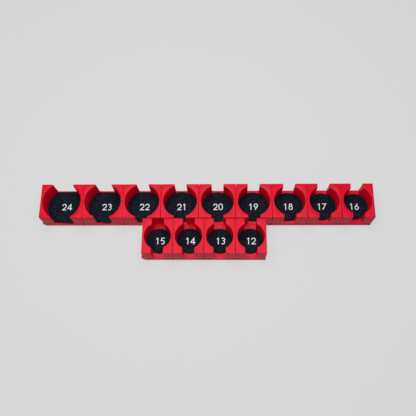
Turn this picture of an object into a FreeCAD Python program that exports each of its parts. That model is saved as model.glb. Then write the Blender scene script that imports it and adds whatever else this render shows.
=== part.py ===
"""Socket organizer: thirteen interlocking bins that stand in two rows.

Every bin is one moulded housing with a label pad on its pocket floor and a magnet let into its
underside. A dovetail rail on the left of a housing slides into the groove on the right of the next.
Units are millimetres, +Z is up, and the origin is on the resting plane in the middle of the set.
"""
import FreeCAD, Part
import math
import os

Vector = FreeCAD.Vector

# The largest outside diameter of a socket that each bin takes
SOCKET_24 = 36.5
SOCKET_23 = 34.5
SOCKET_22 = 32.8
SOCKET_21 = 31.8
SOCKET_20 = 30.9
SOCKET_19 = 30.0
SOCKET_18 = 29.1
SOCKET_17 = 27.6
SOCKET_16 = 26.3
SMALL_SOCKET = 24.7

# Housing: a base skirt with two walls on it, parted by the pocket and the finger slots.
BIN_DEPTH = 35.3
BIN_HEIGHT = 24.0
FLOOR_LEVEL = 5.0
POCKET_CLEARANCE = 1.2
SIDE_WALL = 1.8
FINGER_SLOT_WIDTH = 11.5
HORN_THICKNESS = 1.3
HORN_CHAMFER = 0.5
LEDGE = 0.25
CORNER_CHAMFER = 0.6
TOP_CHAMFER = 0.3

# Layout of the two rows: the front row stands a little to the left of where the seam on the right of
# one of its bins would line up with the seam on the right of a bin of the back row.
BIN_GAP = 0.2
ROW_GAP = 0.2
BACK_SEAM_BIN = 20
FRONT_SEAM_BIN = 13
SEAM_OFFSET = 0.85

# Dovetail rail on the left of a housing, and the groove on the right for the next one's rail
RAIL_REACH = 2.6
RAIL_NECK_LEVEL = 1.8
RAIL_NECK_HEIGHT = 1.6
RAIL_FLARE = 0.8
RAIL_ROOT = 0.6
RAIL_SETBACK = 0.5
RAIL_END_CHAMFER = 1.0
RAIL_CLEARANCE = 0.15
GROOVE_END_WALL = 2.0

# Cored corners of the underside
CORE_WALL = 2.0
CORE_SIDE_WALL = 3.6
CORE_ROOF = 2.5

# Snap tongue between two slits in the front of the skirt
TONGUE_WIDTH = 2.7
SLIT_WIDTH = 1.1
SLIT_HEIGHT = 3.4
SLIT_DEPTH = 1.8

# Bar magnet
MAGNET_LENGTH = 20.0
MAGNET_WIDTH = 10.0
MAGNET_THICKNESS = 3.0
MAGNET_CLEARANCE = 0.1
MAGNET_RECESS = 0.15

# Label pad
PAD_THICKNESS = 0.8
PAD_CLEARANCE = 0.2
PAD_SETBACK = 1.3

# Distance within which two places count as the same
SAME_PLACE = 1e-4

# Rows of bins from left to right: the number on the label, and the socket
BACK_ROW = {
    24: SOCKET_24,
    23: SOCKET_23,
    22: SOCKET_22,
    21: SOCKET_21,
    20: SOCKET_20,
    19: SOCKET_19,
    18: SOCKET_18,
    17: SOCKET_17,
    16: SOCKET_16,
}
FRONT_ROW = {15: SMALL_SOCKET, 14: SMALL_SOCKET, 13: SMALL_SOCKET, 12: SMALL_SOCKET}

# Sizes that follow from the ones above
WALL_DEPTH = BIN_DEPTH - 2 * LEDGE
ROW_PITCH = BIN_DEPTH + ROW_GAP
THROUGH = 2 * BIN_DEPTH


def pocket_diameter(socket):
    """The bore that a socket drops into."""
    return socket + POCKET_CLEARANCE


def bin_width(socket):
    """The bore with one side wall on each side."""
    return pocket_diameter(socket) + 2 * SIDE_WALL


def finger_slot_width(socket):
    """A finger slot, opened until the horns beside it are thick enough."""
    radius = pocket_diameter(socket) / 2
    horn_line = WALL_DEPTH / 2 - HORN_THICKNESS
    if radius <= horn_line:
        return FINGER_SLOT_WIDTH
    return max(FINGER_SLOT_WIDTH, 2 * math.sqrt(radius**2 - horn_line**2))


def centred_box(width, depth, low, high):
    """A box centred on the Z axis, from one level to another."""
    return Part.makeBox(width, depth, high - low, Vector(-width / 2, -depth / 2, low))


def centred_cylinder(diameter, low, high):
    """A cylinder on the Z axis, from one level to another."""
    return Part.makeCylinder(diameter / 2, high - low, Vector(0, 0, low))


def chamfered_block(width, depth, low, high):
    """A centred box with its four upright corners cut back."""
    block = centred_box(width, depth, low, high)
    corners = [edge for edge in block.Edges if edge.BoundBox.ZLength > (high - low) / 2]
    return block.makeChamfer(CORNER_CHAMFER, corners)


def walls(socket):
    """The two walls above the floor, with a broken top edge and chamfered mouths to the finger slots."""
    slot_width = finger_slot_width(socket)
    block = chamfered_block(bin_width(socket), WALL_DEPTH, FLOOR_LEVEL, BIN_HEIGHT)
    top_edges = [edge for edge in block.Edges if edge.BoundBox.ZMin > BIN_HEIGHT - SAME_PLACE]
    block = block.makeChamfer(TOP_CHAMFER, top_edges)
    pocket = centred_cylinder(pocket_diameter(socket), FLOOR_LEVEL, BIN_HEIGHT)
    block = block.cut([pocket, centred_box(slot_width, THROUGH, FLOOR_LEVEL, BIN_HEIGHT)])
    mouth = Vector(slot_width / 2, WALL_DEPTH / 2, 0)
    mouth_edges = []
    for edge in block.Edges:
        centre = edge.BoundBox.Center
        if Vector(abs(centre.x), abs(centre.y), 0).isEqual(mouth, SAME_PLACE):
            mouth_edges.append(edge)
    return block.makeChamfer(HORN_CHAMFER, mouth_edges)


def dovetail(reach, margin, start, end):
    """A dovetail bar along Y that reaches towards -X from the plane X = 0, thicker by a margin all round."""
    low = RAIL_NECK_LEVEL - margin
    high = RAIL_NECK_LEVEL + RAIL_NECK_HEIGHT + margin
    corners = [
        Vector(RAIL_ROOT, start, low),
        Vector(0, start, low),
        Vector(-reach, start, low - RAIL_FLARE),
        Vector(-reach, start, high + RAIL_FLARE),
        Vector(0, start, high),
        Vector(RAIL_ROOT, start, high),
    ]
    section = Part.Face(Part.makePolygon(corners + corners[:1]))
    return section.extrude(Vector(0, end - start, 0))


def rail():
    """The rail of a bin, with its tip cut back at both ends to lead it into a groove."""
    start = RAIL_SETBACK - BIN_DEPTH / 2
    end = BIN_DEPTH / 2 - GROOVE_END_WALL - RAIL_CLEARANCE
    bar = dovetail(RAIL_REACH, 0, start, end)
    tip_ends = [
        edge
        for edge in bar.Edges
        if edge.BoundBox.XMax < SAME_PLACE - RAIL_REACH and edge.BoundBox.YLength < SAME_PLACE
    ]
    return bar.makeChamfer(RAIL_END_CHAMFER, tip_ends)


def groove():
    """The space for the next bin's rail: open at the front, with a wall at the rear that stops the rail."""
    end = BIN_DEPTH / 2 - GROOVE_END_WALL
    return dovetail(RAIL_REACH + RAIL_CLEARANCE, RAIL_CLEARANCE, -THROUGH / 2, end)


def corner_cores(socket):
    """The hollows in the underside that leave a wall round the pocket and beside the finger slots."""
    core_width = bin_width(socket) - 2 * CORE_SIDE_WALL
    cores = centred_box(core_width, WALL_DEPTH - 2 * CORE_WALL, 0, BIN_HEIGHT - CORE_ROOF)
    round_pocket = pocket_diameter(socket) + 2 * CORE_WALL
    pocket_walls = centred_box(round_pocket, round_pocket, 0, BIN_HEIGHT)
    pocket_walls.rotate(Vector(0, 0, 0), Vector(0, 0, 1), 45)
    slot_walls = centred_box(finger_slot_width(socket) + 2 * CORE_WALL, THROUGH, 0, BIN_HEIGHT)
    return cores.cut([pocket_walls, slot_walls])


def magnet_seat():
    """The recess for the magnet, open at the underside."""
    return centred_box(
        MAGNET_LENGTH + 2 * MAGNET_CLEARANCE,
        MAGNET_WIDTH + 2 * MAGNET_CLEARANCE,
        0,
        MAGNET_RECESS + MAGNET_THICKNESS,
    )


def tongue_slits():
    """The two slits, open at the bottom, that free the snap tongue in the front of the skirt."""
    slit = centred_box(SLIT_WIDTH, 2 * SLIT_DEPTH, 0, SLIT_HEIGHT)
    offset = (TONGUE_WIDTH + SLIT_WIDTH) / 2
    return [slit.translated(Vector(side * offset, -BIN_DEPTH / 2, 0)) for side in (-1, 1)]


def housing(socket):
    """The moulded body of one bin, centred on the Z axis."""
    width = bin_width(socket)
    skirt = chamfered_block(width, BIN_DEPTH, 0, FLOOR_LEVEL)
    body = skirt.fuse([walls(socket), rail().translated(Vector(-width / 2, 0, 0))])
    cuts = [groove().translated(Vector(width / 2 + BIN_GAP, 0, 0)), corner_cores(socket), magnet_seat()]
    return body.cut(cuts + tongue_slits()).removeSplitter()


def magnet():
    """The magnet in its seat, just inside the underside."""
    return centred_box(MAGNET_LENGTH, MAGNET_WIDTH, MAGNET_RECESS, MAGNET_RECESS + MAGNET_THICKNESS)


def label_pad(socket):
    """The disc on the pocket floor, cut straight where it would come near the front or rear edge."""
    top = FLOOR_LEVEL + PAD_THICKNESS
    disc = centred_cylinder(pocket_diameter(socket) - 2 * PAD_CLEARANCE, FLOOR_LEVEL, top)
    return disc.common(centred_box(bin_width(socket), BIN_DEPTH - 2 * PAD_SETBACK, FLOOR_LEVEL, top))


def right_seams(row):
    """How far the seam on the right of each bin lies from the left face of its row."""
    reach = 0
    seams = {}
    for size, socket in row.items():
        reach += bin_width(socket) + BIN_GAP
        seams[size] = reach
    return seams


def write_row(row, left_face, centre_line):
    """Stands a row of bins in place, from its left face on, and writes their pieces."""
    for size, socket in row.items():
        place = Vector(left_face + bin_width(socket) / 2, centre_line, 0)
        pieces = {"housing": housing(socket), "label_pad": label_pad(socket), "magnet": magnet()}
        for name, piece in pieces.items():
            piece.translated(place).exportStep(f"parts/bin_{size}_{name}.step")
        left_face += bin_width(socket) + BIN_GAP


os.makedirs("parts", exist_ok=True)

back_seams = right_seams(BACK_ROW)
back_left = (RAIL_REACH + BIN_GAP - max(back_seams.values())) / 2
front_left = back_left + back_seams[BACK_SEAM_BIN] - SEAM_OFFSET - right_seams(FRONT_ROW)[FRONT_SEAM_BIN]
write_row(BACK_ROW, back_left, ROW_PITCH / 2)
write_row(FRONT_ROW, front_left, -ROW_PITCH / 2)
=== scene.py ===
import math
from types import SimpleNamespace
import bmesh
import bpy
from mathutils import Matrix, Vector


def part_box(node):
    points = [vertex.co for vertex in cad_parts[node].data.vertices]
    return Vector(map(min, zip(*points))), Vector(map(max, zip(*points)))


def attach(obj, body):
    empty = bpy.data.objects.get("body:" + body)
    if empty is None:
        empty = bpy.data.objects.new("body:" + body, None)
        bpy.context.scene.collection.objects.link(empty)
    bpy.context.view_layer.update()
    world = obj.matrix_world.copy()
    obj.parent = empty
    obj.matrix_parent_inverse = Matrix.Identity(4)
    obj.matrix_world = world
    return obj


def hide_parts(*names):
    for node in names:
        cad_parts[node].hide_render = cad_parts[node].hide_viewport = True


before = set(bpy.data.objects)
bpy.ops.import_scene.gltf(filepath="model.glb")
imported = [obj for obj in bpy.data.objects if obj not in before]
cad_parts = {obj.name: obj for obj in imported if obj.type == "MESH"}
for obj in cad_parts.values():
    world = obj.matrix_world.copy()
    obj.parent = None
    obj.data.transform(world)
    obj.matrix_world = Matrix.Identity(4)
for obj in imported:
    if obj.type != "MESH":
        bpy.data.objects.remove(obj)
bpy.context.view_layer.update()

# ---------------------------------------------------------------------------------------------
# Housings. Each bin is one injection-moulded body of satin red plastic: a low skirt, and on it two
# walls parted by the pocket and the finger slots. A dovetail rail on the left hooks into the groove
# of the next bin, and the underside is cored out round the seat of the magnet.
# ---------------------------------------------------------------------------------------------
mm = 0.001
back_row = [24, 23, 22, 21, 20, 19, 18, 17, 16]
front_row = [15, 14, 13, 12]
floor_level = 5.0 * mm
ledge = 0.25 * mm
bin_gap = 0.2 * mm
pad_clearance = 0.2 * mm
magnet_clearance = 0.1 * mm

corner_radius = 0.45 * mm
skirt_radius = 0.15 * mm
rim_radius = 0.25 * mm
side_radius = 0.7 * mm
bore_sides = 128

slot_width = 11.5 * mm
horn_thickness = 1.3 * mm
horn_radius = 0.75 * mm
neck_radius = 0.5 * mm

rail_reach = 2.6 * mm
rail_neck_level = 1.8 * mm
rail_neck_height = 1.6 * mm
rail_flare = 0.8 * mm
rail_root = 0.6 * mm
rail_root_overlap = 0.1 * mm
rail_setback = 0.5 * mm
rail_end_radius = 1.0 * mm
rail_clearance = 0.15 * mm
groove_end_wall = 2.0 * mm

core_wall = 2.0 * mm
core_side_wall = 3.6 * mm
core_roof = 2.5 * mm
tongue_width = 2.7 * mm
slit_width = 1.1 * mm
slit_height = 3.4 * mm
slit_depth = 1.8 * mm

cutter_spare = 1.0 * mm
same_place = 0.01 * mm
weld_distance = 0.002 * mm
upright_within = math.radians(8)
square_from = math.radians(60)
smooth_below = math.radians(30)


def deselect_everything():
    bpy.ops.object.select_all(action="DESELECT")


def make_active(piece):
    deselect_everything()
    piece.select_set(True)
    bpy.context.view_layer.objects.active = piece


def settle(piece, name):
    """Puts the piece's place and size into its mesh, and names it."""
    make_active(piece)
    bpy.ops.object.transform_apply(location=True, rotation=True, scale=True)
    piece.name = name
    piece.data.name = name
    return piece


def block(name, low, high):
    """A box between two corners."""
    deselect_everything()
    low, high = Vector(low), Vector(high)
    bpy.ops.mesh.primitive_cube_add(size=1, location=(low + high) / 2, scale=high - low)
    return settle(bpy.context.active_object, name)


def rod(name, centre, diameter, low, high):
    """An upright cylinder."""
    deselect_everything()
    middle = (centre.x, centre.y, (low + high) / 2)
    bpy.ops.mesh.primitive_cylinder_add(
        vertices=bore_sides, radius=diameter / 2, depth=high - low, location=middle
    )
    return settle(bpy.context.active_object, name)


def pick_edges(piece, wanted):
    """Enters edit mode with only the wanted edges selected."""
    make_active(piece)
    bpy.ops.object.mode_set(mode="EDIT")
    bpy.ops.mesh.select_mode(type="EDGE")
    bpy.ops.mesh.select_all(action="DESELECT")
    mesh = bmesh.from_edit_mesh(piece.data)
    for edge in mesh.edges:
        edge.select_set(wanted(edge))
    bmesh.update_edit_mesh(piece.data)


def round_edges(piece, wanted, radius, segments):
    """Rounds the wanted edges."""
    pick_edges(piece, wanted)
    bpy.ops.mesh.bevel(offset=radius, offset_type="OFFSET", segments=segments, affect="EDGES")
    bpy.ops.object.mode_set(mode="OBJECT")


def combine(piece, other, operation):
    """Adds the other piece to this one, or cuts it away."""
    make_active(piece)
    change = piece.modifiers.new("change", "BOOLEAN")
    change.operation = operation
    change.solver = "EXACT"
    change.object = other
    bpy.ops.object.modifier_apply(modifier=change.name)
    bpy.data.objects.remove(other)


def is_at(value, level):
    return abs(value - level) < same_place


def is_upright(edge):
    rise = abs(edge.verts[0].co.z - edge.verts[1].co.z)
    return rise > edge.calc_length() * math.cos(upright_within)


def is_square(edge):
    """Whether the two faces at the edge meet about at a right angle."""
    return edge.calc_face_angle(0) > square_from


def finger_slot_width(bore, wall_depth):
    """A finger slot, opened where the bore would leave the horns beside it too thin."""
    radius = bore / 2
    horn_line = wall_depth / 2 - horn_thickness
    if radius <= horn_line:
        return slot_width
    return max(slot_width, 2 * math.sqrt(radius**2 - horn_line**2))


def plan_bin(size):
    """Where the sides, the top and the middle of a bin lie, and how wide its bore and its slots are."""
    low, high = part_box(f"bin_{size}_housing")
    pad_low, pad_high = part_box(f"bin_{size}_label_pad")
    left = low.x + rail_reach
    bore = pad_high.x - pad_low.x + 2 * pad_clearance
    return SimpleNamespace(
        left=left,
        right=high.x,
        front=low.y,
        rear=high.y,
        top=high.z,
        centre=Vector(((left + high.x) / 2, (low.y + high.y) / 2, 0)),
        bore=bore,
        slot=finger_slot_width(bore, high.y - low.y - 2 * ledge),
    )


def shape_walls(plan):
    """The two walls, with the bore and the finger slots cut down to the pocket floor."""
    front, rear = plan.front + ledge, plan.rear - ledge
    above = plan.top + cutter_spare
    walls_low = (plan.left, front, floor_level - cutter_spare)
    walls = block("walls", walls_low, (plan.right, rear, plan.top))
    round_edges(walls, is_upright, corner_radius, segments=6)
    combine(walls, rod("bore", plan.centre, plan.bore, floor_level, above), "DIFFERENCE")
    half_slot = plan.slot / 2
    slot_low = (plan.centre.x - half_slot, front - cutter_spare, floor_level)
    slot_high = (plan.centre.x + half_slot, rear + cutter_spare, above)
    combine(walls, block("slot", slot_low, slot_high), "DIFFERENCE")

    half_depth = (rear - front) / 2
    neck = math.sqrt((plan.bore / 2) ** 2 - half_slot**2)

    def beside_slot(edge, reach):
        middle = (edge.verts[0].co + edge.verts[1].co) / 2 - plan.centre
        return is_upright(edge) and is_at(abs(middle.x), half_slot) and is_at(abs(middle.y), reach)

    round_edges(walls, lambda edge: beside_slot(edge, half_depth), horn_radius, segments=6)
    if half_depth - neck > horn_radius + neck_radius:
        round_edges(walls, lambda edge: beside_slot(edge, neck), neck_radius, segments=5)

    def at_top(edge):
        return is_square(edge) and all(is_at(vertex.co.z, plan.top) for vertex in edge.verts)

    def at_side(edge):
        middle_x = (edge.verts[0].co.x + edge.verts[1].co.x) / 2
        return at_top(edge) and (is_at(middle_x, plan.left) or is_at(middle_x, plan.right))

    round_edges(walls, lambda edge: at_top(edge) and not at_side(edge), rim_radius, segments=3)
    round_edges(walls, at_side, side_radius, segments=3)
    return walls


def dovetail(name, low, high):
    """A bar along Y that is flared at its left side."""
    bar = block(name, low, high)
    make_active(bar)
    bpy.ops.object.mode_set(mode="EDIT")
    mesh = bmesh.from_edit_mesh(bar.data)
    for face in mesh.faces:
        face.select_set(is_at(face.normal.x, -1))
    bmesh.update_edit_mesh(bar.data)
    height = high[2] - low[2]
    bpy.ops.transform.resize(value=(1, 1, (height + 2 * rail_flare) / height))
    bpy.ops.object.mode_set(mode="OBJECT")
    return bar


def shape_rail(plan):
    """The rail, with its tip rounded at both ends to lead it into a groove."""
    tip = plan.left - rail_reach
    start = plan.front + rail_setback
    end = plan.rear - groove_end_wall - rail_clearance
    low, high = rail_neck_level, rail_neck_level + rail_neck_height
    rail = dovetail("rail", (tip, start, low), (plan.left, end, high))

    def at_tip(edge):
        return is_upright(edge) and is_at(edge.verts[0].co.x, tip)

    round_edges(rail, at_tip, rail_end_radius, segments=3)
    root_low = (plan.left - rail_root_overlap, start, low)
    combine(rail, block("root", root_low, (plan.left + rail_root, end, high)), "UNION")
    return rail


def shape_groove(plan):
    """The space for the next bin's rail: open at the front, closed by a wall at the rear."""
    low = rail_neck_level - rail_clearance
    high = rail_neck_level + rail_neck_height + rail_clearance
    mouth = plan.right + bin_gap
    tip = mouth - rail_reach - rail_clearance
    end = plan.rear - groove_end_wall
    return dovetail("groove", (tip, plan.front - cutter_spare, low), (mouth, end, high))


def core_out_corners(body, plan):
    """Hollows the corners from below, and leaves a wall round the pocket and beside the slots."""
    roof = plan.top - core_roof
    low = (plan.left + core_side_wall, plan.front + core_wall, -cutter_spare)
    cores = block("cores", low, (plan.right - core_side_wall, plan.rear - core_wall, roof))
    under, over = -2 * cutter_spare, roof + cutter_spare
    reach = plan.bore / 2 + core_wall
    diamond = block("diamond", (-reach, -reach, under), (reach, reach, over))
    diamond.rotation_euler.z = math.radians(45)
    diamond.location = plan.centre
    combine(cores, settle(diamond, "diamond"), "DIFFERENCE")
    half = plan.slot / 2 + core_wall
    strip_low = (plan.centre.x - half, plan.front, under)
    strip_high = (plan.centre.x + half, plan.rear, over)
    combine(cores, block("strip", strip_low, strip_high), "DIFFERENCE")
    combine(body, cores, "DIFFERENCE")


def cut_magnet_seat(body, size):
    low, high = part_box(f"bin_{size}_magnet")
    margin = Vector((magnet_clearance, magnet_clearance, 0))
    seat_low = low - margin - Vector((0, 0, cutter_spare))
    combine(body, block("seat", seat_low, high + margin), "DIFFERENCE")


def cut_tongue_slits(body, plan):
    """Frees the snap tongue at the foot of the front by a slit on each side."""
    for side in (-1, 1):
        middle = plan.centre.x + side * (tongue_width + slit_width) / 2
        slit_low = (middle - slit_width / 2, plan.front - cutter_spare, -cutter_spare)
        slit_high = (middle + slit_width / 2, plan.front + slit_depth, slit_height)
        combine(body, block("slit", slit_low, slit_high), "DIFFERENCE")


def moulded_housing(name, size):
    """One whole housing, in its place in the set."""
    plan = plan_bin(size)
    body = block("skirt", (plan.left, plan.front, 0), (plan.right, plan.rear, floor_level))
    round_edges(body, is_upright, corner_radius, segments=6)
    round_edges(body, lambda edge: is_square(edge) and not is_upright(edge), skirt_radius, segments=2)
    combine(body, shape_walls(plan), "UNION")
    combine(body, shape_groove(plan), "DIFFERENCE")
    combine(body, shape_rail(plan), "UNION")
    core_out_corners(body, plan)
    cut_magnet_seat(body, size)
    cut_tongue_slits(body, plan)
    settle(body, name)
    bpy.ops.object.mode_set(mode="EDIT")
    bpy.ops.mesh.select_all(action="SELECT")
    bpy.ops.mesh.remove_doubles(threshold=weld_distance)
    bpy.ops.mesh.normals_make_consistent(inside=False)
    bpy.ops.object.mode_set(mode="OBJECT")
    bpy.ops.object.shade_smooth_by_angle(angle=smooth_below)
    return body


def node_material(name):
    """A node material with its shader and the object's own coordinates."""
    material = bpy.data.materials.new(name)
    material.use_nodes = True
    tree = material.node_tree
    place = tree.nodes.new("ShaderNodeTexCoord")
    return material, tree, tree.nodes["Principled BSDF"], place.outputs["Object"]


def noise(tree, place, cells, detail=4, roughness=0.5):
    """A noise pattern with about so many cells to the metre."""
    pattern = tree.nodes.new("ShaderNodeTexNoise")
    pattern.inputs["Scale"].default_value = cells
    pattern.inputs["Detail"].default_value = detail
    pattern.inputs["Roughness"].default_value = roughness
    tree.links.new(place, pattern.inputs["Vector"])
    return pattern.outputs["Fac"]


def grey(level):
    return (level, level, level, 1)


def ramp(tree, value, low, high, start=0.3, end=0.7):
    """Colours or greys that follow a pattern, from low at its start to high at its end."""
    scale = tree.nodes.new("ShaderNodeValToRGB")
    scale.color_ramp.elements[0].position = start
    scale.color_ramp.elements[1].position = end
    scale.color_ramp.elements[0].color = low
    scale.color_ramp.elements[1].color = high
    tree.links.new(value, scale.inputs["Fac"])
    return scale.outputs["Color"]


def bump(tree, shader, height, strength, distance):
    """Raises the surface by a pattern's height."""
    relief = tree.nodes.new("ShaderNodeBump")
    relief.inputs["Strength"].default_value = strength
    relief.inputs["Distance"].default_value = distance
    tree.links.new(height, relief.inputs["Height"])
    tree.links.new(relief.outputs["Normal"], shader.inputs["Normal"])


def red_plastic():
    """Satin red moulding plastic, with a fine spark-eroded grain and a faint flow of darker pigment."""
    material, tree, shader, place = node_material("satin_red_plastic")
    shader.inputs["Specular IOR Level"].default_value = 0.13
    deep_red, bright_red = (0.81, 0.0005, 0.024, 1), (0.87, 0.001, 0.029, 1)
    colour = ramp(tree, noise(tree, place, cells=45, detail=3), deep_red, bright_red)
    tree.links.new(colour, shader.inputs["Base Color"])
    roughness = ramp(tree, noise(tree, place, cells=260), grey(0.33), grey(0.43))
    tree.links.new(roughness, shader.inputs["Roughness"])
    bump(tree, shader, noise(tree, place, cells=3500, detail=2), strength=0.25, distance=0.02 * mm)
    return material


plastic = red_plastic()
for size in back_row + front_row:
    housing = moulded_housing(f"housing_{size}", size)
    housing.data.materials.clear()
    housing.data.materials.append(plastic)
    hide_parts(f"bin_{size}_housing")
    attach(housing, f"bin_{size}")

# ---------------------------------------------------------------------------------------------
# Magnets. A bright nickel-plated bar is pressed into the seat in the underside of each housing and
# lies a hair inside its face. Its edges are tumbled round before it is plated.
# ---------------------------------------------------------------------------------------------
tumbled_radius = 0.35 * mm


def nickel_plate():
    """Bright nickel, faintly brushed along the bar and lightly scuffed."""
    material, tree, shader, place = node_material("nickel_plate")
    shader.inputs["Metallic"].default_value = 1.0
    stretch = tree.nodes.new("ShaderNodeMapping")
    stretch.inputs["Scale"].default_value = (0.05, 1.0, 1.0)
    tree.links.new(place, stretch.inputs["Vector"])
    scuffs = noise(tree, stretch.outputs["Vector"], cells=4000, detail=3)
    dull_nickel, bright_nickel = (0.60, 0.59, 0.56, 1), (0.74, 0.73, 0.70, 1)
    tree.links.new(ramp(tree, scuffs, dull_nickel, bright_nickel), shader.inputs["Base Color"])
    tree.links.new(ramp(tree, scuffs, grey(0.20), grey(0.34)), shader.inputs["Roughness"])
    bump(tree, shader, scuffs, strength=0.1, distance=0.01 * mm)
    return material


def copy_to(piece, name, shift):
    """Another piece of the same shape, with its own mesh, moved by the shift."""
    make_active(piece)
    bpy.ops.object.duplicate(linked=False)
    copy = bpy.context.active_object
    copy.location = shift
    return settle(copy, name)


nickel = nickel_plate()
first_low, first_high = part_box(f"bin_{back_row[0]}_magnet")
bar = block("bar", first_low, first_high)
round_edges(bar, lambda edge: True, tumbled_radius, segments=4)
bpy.ops.object.shade_smooth_by_angle(angle=smooth_below)
bar.data.materials.append(nickel)
for size in back_row + front_row:
    magnet = copy_to(bar, f"magnet_{size}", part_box(f"bin_{size}_magnet")[0] - first_low)
    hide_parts(f"bin_{size}_magnet")
    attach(magnet, f"bin_{size}")
bpy.data.objects.remove(bar)

# ---------------------------------------------------------------------------------------------
# Label pads. A disc of fine-grained black rubber sheet is punched out and bonded to each pocket
# floor. In the widest bins it is cut straight where it would reach the front and rear edges.
# ---------------------------------------------------------------------------------------------
punched_radius = 0.15 * mm
least_cut = 0.1 * mm


def black_rubber():
    """Black rubber sheet with a fine pebbled grain and grey filler specks."""
    material, tree, shader, place = node_material("black_rubber")
    shader.inputs["Specular IOR Level"].default_value = 0.07
    grain = noise(tree, place, cells=1100, detail=5, roughness=0.8)
    black, filler_grey = (0.001, 0.002, 0.004, 1), (0.036, 0.054, 0.086, 1)
    colour = ramp(tree, grain, black, filler_grey, start=0.46, end=0.72)
    tree.links.new(colour, shader.inputs["Base Color"])
    tree.links.new(ramp(tree, grain, grey(0.9), grey(0.6)), shader.inputs["Roughness"])
    bump(tree, shader, grain, strength=0.5, distance=0.08 * mm)
    return material


def cut_straight(pad, edge_y, outward):
    """Cuts off what reaches past a line along X, on its outward side."""
    make_active(pad)
    bpy.ops.object.mode_set(mode="EDIT")
    bpy.ops.mesh.select_all(action="SELECT")
    bpy.ops.mesh.bisect(
        plane_co=(0, edge_y, 0), plane_no=(0, outward, 0), clear_outer=True, use_fill=True
    )
    bpy.ops.object.mode_set(mode="OBJECT")


def punched_pad(name, size):
    """One pad, in its place on the pocket floor."""
    low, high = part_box(f"bin_{size}_label_pad")
    diameter = high.x - low.x
    pad = rod(name, (low + high) / 2, diameter, low.z, high.z)
    if diameter - (high.y - low.y) > least_cut:
        cut_straight(pad, low.y, -1)
        cut_straight(pad, high.y, 1)
    round_edges(pad, is_square, punched_radius, segments=3)
    bpy.ops.object.shade_smooth_by_angle(angle=smooth_below)
    return pad


rubber = black_rubber()
small_pad = punched_pad("small_pad", front_row[0])
for size in back_row + front_row:
    if size in back_row:
        pad = punched_pad(f"label_pad_{size}", size)
    else:
        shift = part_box(f"bin_{size}_label_pad")[0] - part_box(f"bin_{front_row[0]}_label_pad")[0]
        pad = copy_to(small_pad, f"label_pad_{size}", shift)
    pad.data.materials.append(rubber)
    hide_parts(f"bin_{size}_label_pad")
    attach(pad, f"bin_{size}")
bpy.data.objects.remove(small_pad)

# ---------------------------------------------------------------------------------------------
# Numerals. The size of the socket is screen-printed on each pad in white ink, with upright digits
# of one even stroke. A digit is laid down by a pen that runs straight or turns. The number stands a
# little to the right of the pad's middle.
# ---------------------------------------------------------------------------------------------
pen_width = 0.82 * mm
nib = 0.02 * mm
turn_step = 7.5
digit_height = 6.8 * mm
digit_space = 0.9 * mm
print_shift = 0.3 * mm
far_shift = 0.85 * mm
far_shifted = (24, 23, 15, 14, 13, 12)
# Each stroke is sunk a little deeper and made a little thicker than the one before, so that no two
# faces of crossing strokes lie in one plane.
ink_thickness = 0.06 * mm
ink_sink = 0.01 * mm
thickness_step = 0.007 * mm
sink_step = 0.004 * mm
# Each digit: its width, then its strokes. A stroke is where the pen starts from the digit's lower left
# corner, its heading in degrees from +X, and its moves in millimetres, straight on by a length or round
# a radius by an angle, left positive.
digits = {
    "1": (3.8, [((2.1, 0.0), 90, [("straight", 6.8)]), ((2.35, 6.42), 215, [("straight", 2.0)])]),
    "2": (
        4.45,
        [
            ((0.5, 4.65), 90, [("turn", 1.72, -217)]),
            ((3.88, 3.68), 225, [("straight", 4.15)]),
            ((0.2, 0.43), 0, [("straight", 4.2)]),
        ],
    ),
    "3": (4.2, [((0.72, 5.6), 60, [("turn", 1.5, -205)]), ((1.82, 3.79), 0, [("turn", 1.68, -220)])]),
    "4": (
        4.7,
        [
            ((3.3, 0.0), 90, [("straight", 6.8)]),
            ((3.45, 6.6), 236, [("straight", 5.9)]),
            ((0.15, 1.9), 0, [("straight", 4.5)]),
        ],
    ),
    "5": (
        4.4,
        [
            ((4.0, 6.37), 180, [("straight", 2.8)]),
            ((1.4, 6.5), 258, [("straight", 3.3)]),
            ((0.95, 3.6), 35, [("turn", 1.75, -250)]),
        ],
    ),
    "6": (4.6, [((2.3, 0.43), 0, [("turn", 1.7, 360)]), ((0.88, 2.95), 57, [("straight", 4.3)])]),
    "7": (4.5, [((0.15, 6.37), 0, [("straight", 4.2)]), ((3.95, 6.55), 242, [("straight", 7.1)])]),
    "8": (4.6, [((2.3, 0.43), 0, [("turn", 1.68, 360)]), ((2.3, 3.79), 0, [("turn", 1.28, 360)])]),
    "9": (4.6, [((2.3, 6.37), 180, [("turn", 1.7, 360)]), ((3.72, 3.85), 237, [("straight", 4.3)])]),
    "0": (
        4.3,
        [
            (
                (0.43, 2.15),
                90,
                [("straight", 2.5), ("turn", 1.72, -180), ("straight", 2.5), ("turn", 1.72, -180)],
            )
        ],
    ),
}


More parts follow.
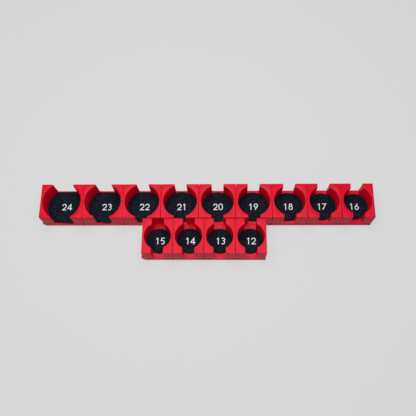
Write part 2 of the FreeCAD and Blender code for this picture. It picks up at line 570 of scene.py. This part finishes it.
def draw_stroke(start, heading, moves, thickness):
    """A ribbon of printed ink, as wide as the pen."""
    deselect_everything()
    bpy.ops.mesh.primitive_plane_add(size=1, location=(0, 0, 0))
    stroke = bpy.context.active_object
    stroke.dimensions = (nib, pen_width, 0)
    stroke.rotation_euler = (0, 0, heading)
    stroke.location = start
    settle(stroke, "stroke")
    ahead = Vector((math.cos(heading), math.sin(heading), 0))
    tip = start + ahead * nib / 2

    def at_tip(edge):
        return all(abs((vertex.co - tip).dot(ahead)) < nib / 10 for vertex in edge.verts)

    pick_edges(stroke, at_tip)
    point = tip
    for kind, amount, *angle in moves:
        ahead = Vector((math.cos(heading), math.sin(heading), 0))
        if kind == "straight":
            step = ahead * amount * mm
            bpy.ops.mesh.extrude_region_move(TRANSFORM_OT_translate={"value": step})
            point = point + step
            continue
        radius, degrees = amount * mm, angle[0]
        side = math.copysign(1, degrees)
        centre = point + Vector((-ahead.y, ahead.x, 0)) * side * radius
        steps = round(abs(degrees) / turn_step)
        bpy.ops.mesh.spin(steps=steps, angle=-math.radians(degrees), center=centre, axis=(0, 0, 1))
        heading += math.radians(degrees)
        point = centre + Vector((math.sin(heading), -math.cos(heading), 0)) * side * radius
    mesh = bmesh.from_edit_mesh(stroke.data)
    for face in mesh.faces:
        face.select_set((face.calc_center_median() - start).length < nib / 10)
    bmesh.update_edit_mesh(stroke.data)
    bpy.ops.mesh.delete(type="FACE")
    bpy.ops.mesh.select_all(action="SELECT")
    bpy.ops.mesh.remove_doubles(threshold=nib / 4)
    bpy.ops.mesh.extrude_region_move(TRANSFORM_OT_translate={"value": (0, 0, thickness)})
    bpy.ops.mesh.select_all(action="SELECT")
    bpy.ops.mesh.normals_make_consistent(inside=False)
    bpy.ops.object.mode_set(mode="OBJECT")
    return stroke


def draw_digit(character, corner, drawn):
    """One digit of ink with its lower left corner at the place given, after so many strokes drawn."""
    digit = None
    for number, (start, heading, moves) in enumerate(digits[character][1], drawn):
        sink = ink_sink + sink_step * number
        place = (corner[0] + start[0] * mm, corner[1] + start[1] * mm, corner[2] - sink)
        thickness = ink_thickness + thickness_step * number
        stroke = draw_stroke(Vector(place), math.radians(heading), moves, thickness)
        if digit:
            combine(digit, stroke, "UNION")
        else:
            digit = stroke
    return digit


def white_ink():
    """Opaque white screen ink, a little uneven where the rubber's grain shows through."""
    material, tree, shader, place = node_material("white_ink")
    shader.inputs["Roughness"].default_value = 0.55
    cover = noise(tree, place, cells=1400, detail=5, roughness=0.7)
    thin_white, full_white = (0.80, 0.90, 0.94, 1), (0.88, 0.96, 0.99, 1)
    colour = ramp(tree, cover, thin_white, full_white, start=0.3, end=0.6)
    tree.links.new(colour, shader.inputs["Base Color"])
    bump(tree, shader, cover, strength=0.3, distance=0.04 * mm)
    return material


ink = white_ink()
for size in back_row + front_row:
    low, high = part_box(f"bin_{size}_label_pad")
    tens, units = str(size)
    tens_width, units_width = digits[tens][0] * mm, digits[units][0] * mm
    pen_x = (low.x + high.x - (tens_width + units_width) - digit_space) / 2
    pen_x += far_shift if size in far_shifted else print_shift
    base_y = (low.y + high.y - digit_height) / 2
    numeral = draw_digit(tens, (pen_x, base_y, high.z), drawn=0)
    pen_x += tens_width + digit_space
    second = draw_digit(units, (pen_x, base_y, high.z), drawn=len(digits[tens][1]))
    make_active(numeral)
    second.select_set(True)
    bpy.ops.object.join()
    settle(numeral, f"numeral_{size}")
    numeral.data.materials.clear()
    numeral.data.materials.append(ink)
    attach(numeral, f"bin_{size}")

# ---------------------------------------------------------------------------------------------
# Studio. The set stands on plain pale paper under one large soft lamp, with a pale sky round it. The
# paper and the far backdrop are an even grey to the eye and throw back less light than they show.
# ---------------------------------------------------------------------------------------------
floor_side = 12
backdrop_grey = 0.724
bounce_grey = 0.44
# Painted shadow: the near-black grey that the eye sees on the floor where a piece all but closes over
# it, and how far round the floor looks for such a piece.
painted_shade_grey = 0.02
painted_shade_reach = 4 * mm
closed_below = 0.25
open_above = 0.5
evenness = 0.8
sky_colour = (0.88, 0.93, 1.0, 1)
sky_strength = 0.19
lamp_place = Vector((-0.036, 0.046, 0.56))
lamp_target = Vector((-0.04, 0, 0))
lamp_side = 0.46
lamp_power = 2.65


def seen_by_the_eye(tree):
    """1 for what the eye sees directly, in a reflection or through glass, and 0 for stray light."""
    path = tree.nodes.new("ShaderNodeLightPath")
    seen = path.outputs["Is Camera Ray"]
    for ray in ("Is Glossy Ray", "Is Transmission Ray"):
        either = tree.nodes.new("ShaderNodeMath")
        either.operation = "MAXIMUM"
        tree.links.new(seen, either.inputs[0])
        tree.links.new(path.outputs[ray], either.inputs[1])
        seen = either.outputs[0]
    return seen


def plain_surface(tree, kind, level):
    shader = tree.nodes.new(kind)
    shader.inputs["Color"].default_value = grey(level)
    return shader.outputs[0]


def mix(tree, share, first, second):
    """The first shader where the share is 0, and the second where it is 1."""
    shader = tree.nodes.new("ShaderNodeMixShader")
    if isinstance(share, float):
        shader.inputs["Fac"].default_value = share
    else:
        tree.links.new(share, shader.inputs["Fac"])
    tree.links.new(first, shader.inputs[1])
    tree.links.new(second, shader.inputs[2])
    return shader.outputs[0]


def pale_floor():
    """Matt pale paper, an even grey with a soft shadow, that throws back less light than the eye sees.
    Where a piece all but closes over it, it is painted near black to the eye as shade, but clear to the
    rest of the light. It is clear from below too, so that the underside can be seen."""
    material = bpy.data.materials.new("pale_floor")
    material.use_nodes = True
    tree = material.node_tree
    tree.nodes.remove(tree.nodes["Principled BSDF"])
    paper = plain_surface(tree, "ShaderNodeBsdfDiffuse", backdrop_grey)
    glow = plain_surface(tree, "ShaderNodeEmission", backdrop_grey)
    painted_shade_floor = plain_surface(tree, "ShaderNodeBsdfDiffuse", painted_shade_grey)
    bounce = plain_surface(tree, "ShaderNodeBsdfDiffuse", bounce_grey)
    clear = plain_surface(tree, "ShaderNodeBsdfTransparent", 1.0)
    nearness = tree.nodes.new("ShaderNodeAmbientOcclusion")
    nearness.inputs["Distance"].default_value = painted_shade_reach
    openness = ramp(tree, nearness.outputs["AO"], grey(0), grey(1), start=closed_below, end=open_above)
    direct = tree.nodes.new("ShaderNodeLightPath").outputs["Is Camera Ray"]
    sheet = mix(tree, seen_by_the_eye(tree), bounce, mix(tree, evenness, paper, glow))
    # Painted shadow: where the occlusion mask finds a piece all but closing over the floor, the eye
    # sees near-black paper in place of the lit sheet.
    look = mix(tree, openness, mix(tree, direct, clear, painted_shade_floor), sheet)
    side = tree.nodes.new("ShaderNodeNewGeometry")
    look = mix(tree, side.outputs["Backfacing"], look, clear)
    tree.links.new(look, tree.nodes["Material Output"].inputs["Surface"])
    return material


deselect_everything()
bpy.ops.mesh.primitive_plane_add(size=floor_side, location=(0, 0, 0))
floor = bpy.context.active_object
floor.name = "floor"
floor.data.materials.append(pale_floor())

world = bpy.data.worlds.new("pale_sky")
bpy.context.scene.world = world
world.use_nodes = True
sky = world.node_tree.nodes["Background"]
sky.inputs["Color"].default_value = sky_colour
sky.inputs["Strength"].default_value = sky_strength
far_grey = backdrop_grey * (evenness + (1 - evenness) * sky_strength)
backdrop = plain_surface(world.node_tree, "ShaderNodeBackground", far_grey)
look = mix(world.node_tree, seen_by_the_eye(world.node_tree), sky.outputs[0], backdrop)
world.node_tree.links.new(look, world.node_tree.nodes["World Output"].inputs["Surface"])

bpy.ops.object.light_add(type="AREA", location=lamp_place)
lamp = bpy.context.active_object
lamp.name = "key_light"
lamp.data.size = lamp_side
lamp.data.energy = lamp_power
lamp.rotation_euler = (lamp_target - lamp_place).to_track_quat("-Z", "Y").to_euler()

# ---------------------------------------------------------------------------------------------
# Camera. It stands high in front of the set and looks down on it steeply, turned a little to the
# left and rolled a few degrees, through a lens of about normal length.
# ---------------------------------------------------------------------------------------------
camera_place = (20.6 * mm, -170.4 * mm, 529.2 * mm)
camera_down = math.radians(70.26)
camera_turn = math.radians(5.41)
camera_roll = math.radians(-5.22)
lens_length = 48.07
sensor_width = 36.0
nearest_view = 10 * mm

bpy.ops.object.camera_add(location=camera_place)
camera = bpy.context.active_object
camera.data.lens = lens_length
camera.data.sensor_width = sensor_width
camera.data.clip_start = nearest_view
aim = Matrix.Rotation(camera_turn, 4, "Z") @ Matrix.Rotation(math.radians(90) - camera_down, 4, "X")
camera.rotation_euler = (aim @ Matrix.Rotation(camera_roll, 4, "Z")).to_euler()
bpy.context.scene.camera = camera
bpy.context.scene.view_settings.view_transform = "Standard"
